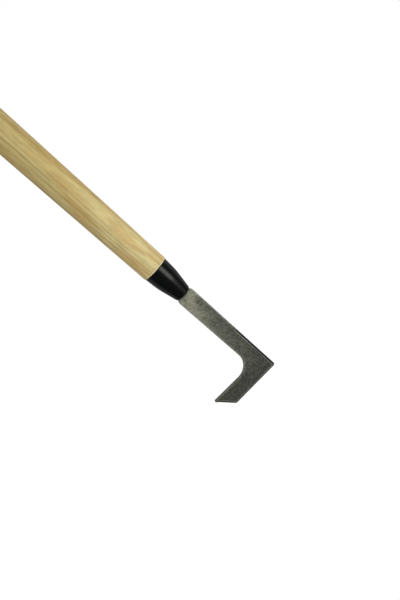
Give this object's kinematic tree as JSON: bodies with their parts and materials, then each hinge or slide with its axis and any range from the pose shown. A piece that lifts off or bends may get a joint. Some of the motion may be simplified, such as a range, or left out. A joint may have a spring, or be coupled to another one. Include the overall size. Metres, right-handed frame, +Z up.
{
  "type": "patio weeder",
  "caption": "Long-handled weeder: a flat L-shaped steel blade on a tang, a black tapered ferrule and a long ash handle with a domed end and a hang hole.",
  "frame": {"origin": "centre of the hang hole, in the middle of the handle's domed end", "axes": "+Z runs up the handle towards its domed end, as the tool hangs with its blade down; the blade's flat faces look along +Y and -Y, the hang hole runs along Y, and the blade's leg points to -X"},
  "size_m": [0.076, 0.0306, 1.5585],
  "materials": {
    "oiled_ash": "turned ash, sanded and oiled, satin, straw coloured with brown streaks along the grain",
    "black_lacquered_steel": "glossy black lacquer on pressed steel",
    "hot_rolled_steel": "dark grey hot-rolled steel with mottled olive-grey scale, satin"
  },
  "bodies": {
    "root": {"handle": "oiled_ash", "ferrule": "black_lacquered_steel", "blade": "hot_rolled_steel"}
  },
  "joints": []
}
